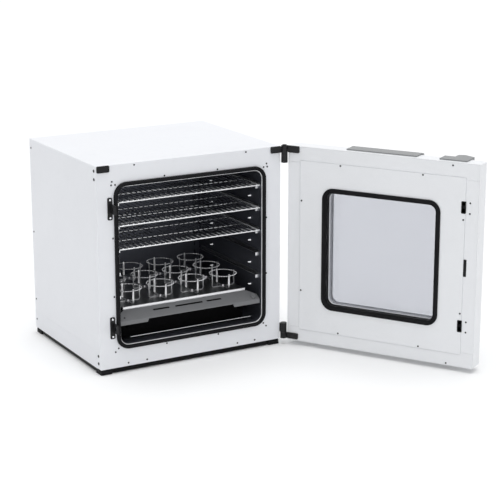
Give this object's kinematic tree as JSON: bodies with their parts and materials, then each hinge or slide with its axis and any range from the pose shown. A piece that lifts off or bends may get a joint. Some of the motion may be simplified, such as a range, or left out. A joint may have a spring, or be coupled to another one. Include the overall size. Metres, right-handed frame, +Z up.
{
  "type": "incubated benchtop shaker",
  "caption": "Heated white benchtop cabinet with an orbital shaking platform under wire shelves, and a side-hinged glazed door standing open.",
  "frame": {"origin": "middle of the cabinet's footprint, at the height of the bench it stands on", "axes": "+Z up, -Y out of the cabinet's front, +X towards the side with the door hinges"},
  "size_m": [1.0498, 1.0726, 0.664],
  "materials": {
    "white_paint": "semi-gloss powder coat",
    "door_white": "semi-gloss powder coat",
    "grey_paint": "satin moulding",
    "black_rubber": "matt rubber",
    "black_metal": "satin black coat",
    "dark_cover": "satin dark grey coat",
    "drive_black": "satin black coat",
    "bright_steel": "brushed",
    "chamber_steel": "brushed",
    "wire_steel": "bright wire",
    "machined_steel": "turned",
    "cast_aluminium": "machined",
    "bright_deck": "brushed",
    "glass": "clear",
    "screw_steel": "bright",
    "insulation": "fibre board",
    "black_plastic": "satin moulding",
    "display": "clear lens over black",
    "circuit": "solder mask",
    "key_plastic": "satin moulding",
    "module_case": "cased module"
  },
  "bodies": {
    "cabinet": {"outer_casing": "white_paint", "side_skirts": "white_paint", "front_frame": "white_paint", "rear_panel": "white_paint", "base_pan": "drive_black", "feet": "black_rubber", "mouth_gasket": "black_rubber", "mouth_trim": "bright_steel", "chamber_liner": "chamber_steel", "cabinet_insulation": "insulation", "shelf_rails": "bright_steel", "rail_studs": "bright_steel", "shelf_upper": "wire_steel", "shelf_middle": "wire_steel", "shelf_lower": "wire_steel", "air_baffle": "chamber_steel", "fan_motor": "black_metal", "heater_ring": "machined_steel", "temperature_probe": "bright_steel", "drive_base_plate": "bright_steel", "drive_housing": "drive_black", "drive_bearings": "cast_aluminium", "drive_motor": "black_metal", "drive_belt": "black_rubber", "drive_cover": "dark_cover", "door_strikes": "black_metal", "corner_plate": "black_plastic", "cabinet_screws": "screw_steel", "cabinet_hinges": "black_metal", "power_supply": "module_case", "mains_inlet": "black_plastic"},
    "door": {"door_hinge_arms": "black_metal", "door_outer_shell": "door_white", "door_inner_panel": "door_white", "latch_inserts": "black_plastic", "window_gasket": "black_rubber", "window_panes": "glass", "window_frame_outer": "black_rubber", "door_insulation": "insulation", "door_screws": "screw_steel", "handle_base": "grey_paint", "control_housing": "grey_paint", "display_lens": "display", "control_board": "circuit"},
    "latch": {"latch_bar": "machined_steel"},
    "lever": {"handle_lever": "grey_paint"},
    "upper_key": {"key_1": "key_plastic"},
    "lower_key": {"key_2": "key_plastic"},
    "power_switch": {"power_rocker": "black_plastic"},
    "fan": {"fan_impeller": "cast_aluminium"},
    "crank": {"drive_crank": "machined_steel"},
    "left_idler": {"idler_crank_1": "machined_steel"},
    "right_idler": {"idler_crank_2": "machined_steel"},
    "small_pulley": {"motor_pulley": "machined_steel"},
    "platform": {"platform_carrier": "cast_aluminium", "platform_plate": "bright_deck", "platform_edge": "bright_steel", "flask_clamps": "bright_steel", "clamp_rings": "wire_steel"},
    "knob": {"cover_knob": "dark_cover"}
  },
  "joints": [
    {"name": "door_hinge", "type": "hinge", "parent": "cabinet", "child": "door", "pos_m": [0.331, -0.264, 0.338], "axis": [0, 0, 1], "range_deg": [-122, 28]},
    {"name": "handle_turn", "type": "hinge", "parent": "door", "child": "lever", "pos_m": [0.71287, -0.72699, 0.5], "axis": [0, 0, 1], "range_deg": [0, 25]},
    {"name": "latch_slide", "type": "slide", "parent": "door", "child": "latch", "axis": [-0.5299, 0.848, 0], "range_m": [0, 0.008]},
    {"name": "upper_key_press", "type": "slide", "parent": "door", "child": "upper_key", "axis": [-0.848, -0.5299, 0], "range_m": [0, 0.0015], "stiffness_N_per_m": 300},
    {"name": "lower_key_press", "type": "slide", "parent": "door", "child": "lower_key", "axis": [-0.848, -0.5299, 0], "range_m": [0, 0.0015], "stiffness_N_per_m": 300},
    {"name": "power_switch_tilt", "type": "hinge", "parent": "cabinet", "child": "power_switch", "pos_m": [-0.14, 0.25, 0.034], "axis": [1, 0, 0], "range_deg": [0, 18]},
    {"name": "fan_spin", "type": "hinge", "parent": "cabinet", "child": "fan", "pos_m": [0, 0.182, 0.34], "axis": [0, 1, 0], "continuous": true},
    {"name": "crank_turn", "type": "hinge", "parent": "cabinet", "child": "crank", "pos_m": [0, -0.1185, 0.12], "axis": [0, 0, 1], "continuous": true},
    {"name": "platform_pivot", "type": "hinge", "parent": "crank", "child": "platform", "pos_m": [0, -0.128, 0.17], "axis": [0, 0, 1], "continuous": true},
    {"name": "left_idler_turn", "type": "hinge", "parent": "cabinet", "child": "left_idler", "pos_m": [-0.15, 0.0615, 0.14], "axis": [0, 0, 1], "continuous": true},
    {"name": "right_idler_turn", "type": "hinge", "parent": "cabinet", "child": "right_idler", "pos_m": [0.15, 0.0615, 0.14], "axis": [0, 0, 1], "continuous": true},
    {"name": "motor_turn", "type": "hinge", "parent": "cabinet", "child": "small_pulley", "pos_m": [0, 0.042, 0.12], "axis": [0, 0, 1], "continuous": true},
    {"name": "cover_knob_turn", "type": "hinge", "parent": "cabinet", "child": "knob", "pos_m": [0.228, -0.241, 0.16921], "axis": [0, -0.515, 0.8572], "range_deg": [0, 90]}
  ],
  "couplings": [
    {"joint": "handle_turn", "follows": "latch_slide", "rad_per_m": 54.54},
    {"joint": "platform_pivot", "follows": "crank_turn", "ratio": -1},
    {"joint": "left_idler_turn", "follows": "crank_turn", "ratio": 1},
    {"joint": "right_idler_turn", "follows": "crank_turn", "ratio": 1},
    {"joint": "motor_turn", "follows": "crank_turn", "ratio": 3.0556}
  ]
}
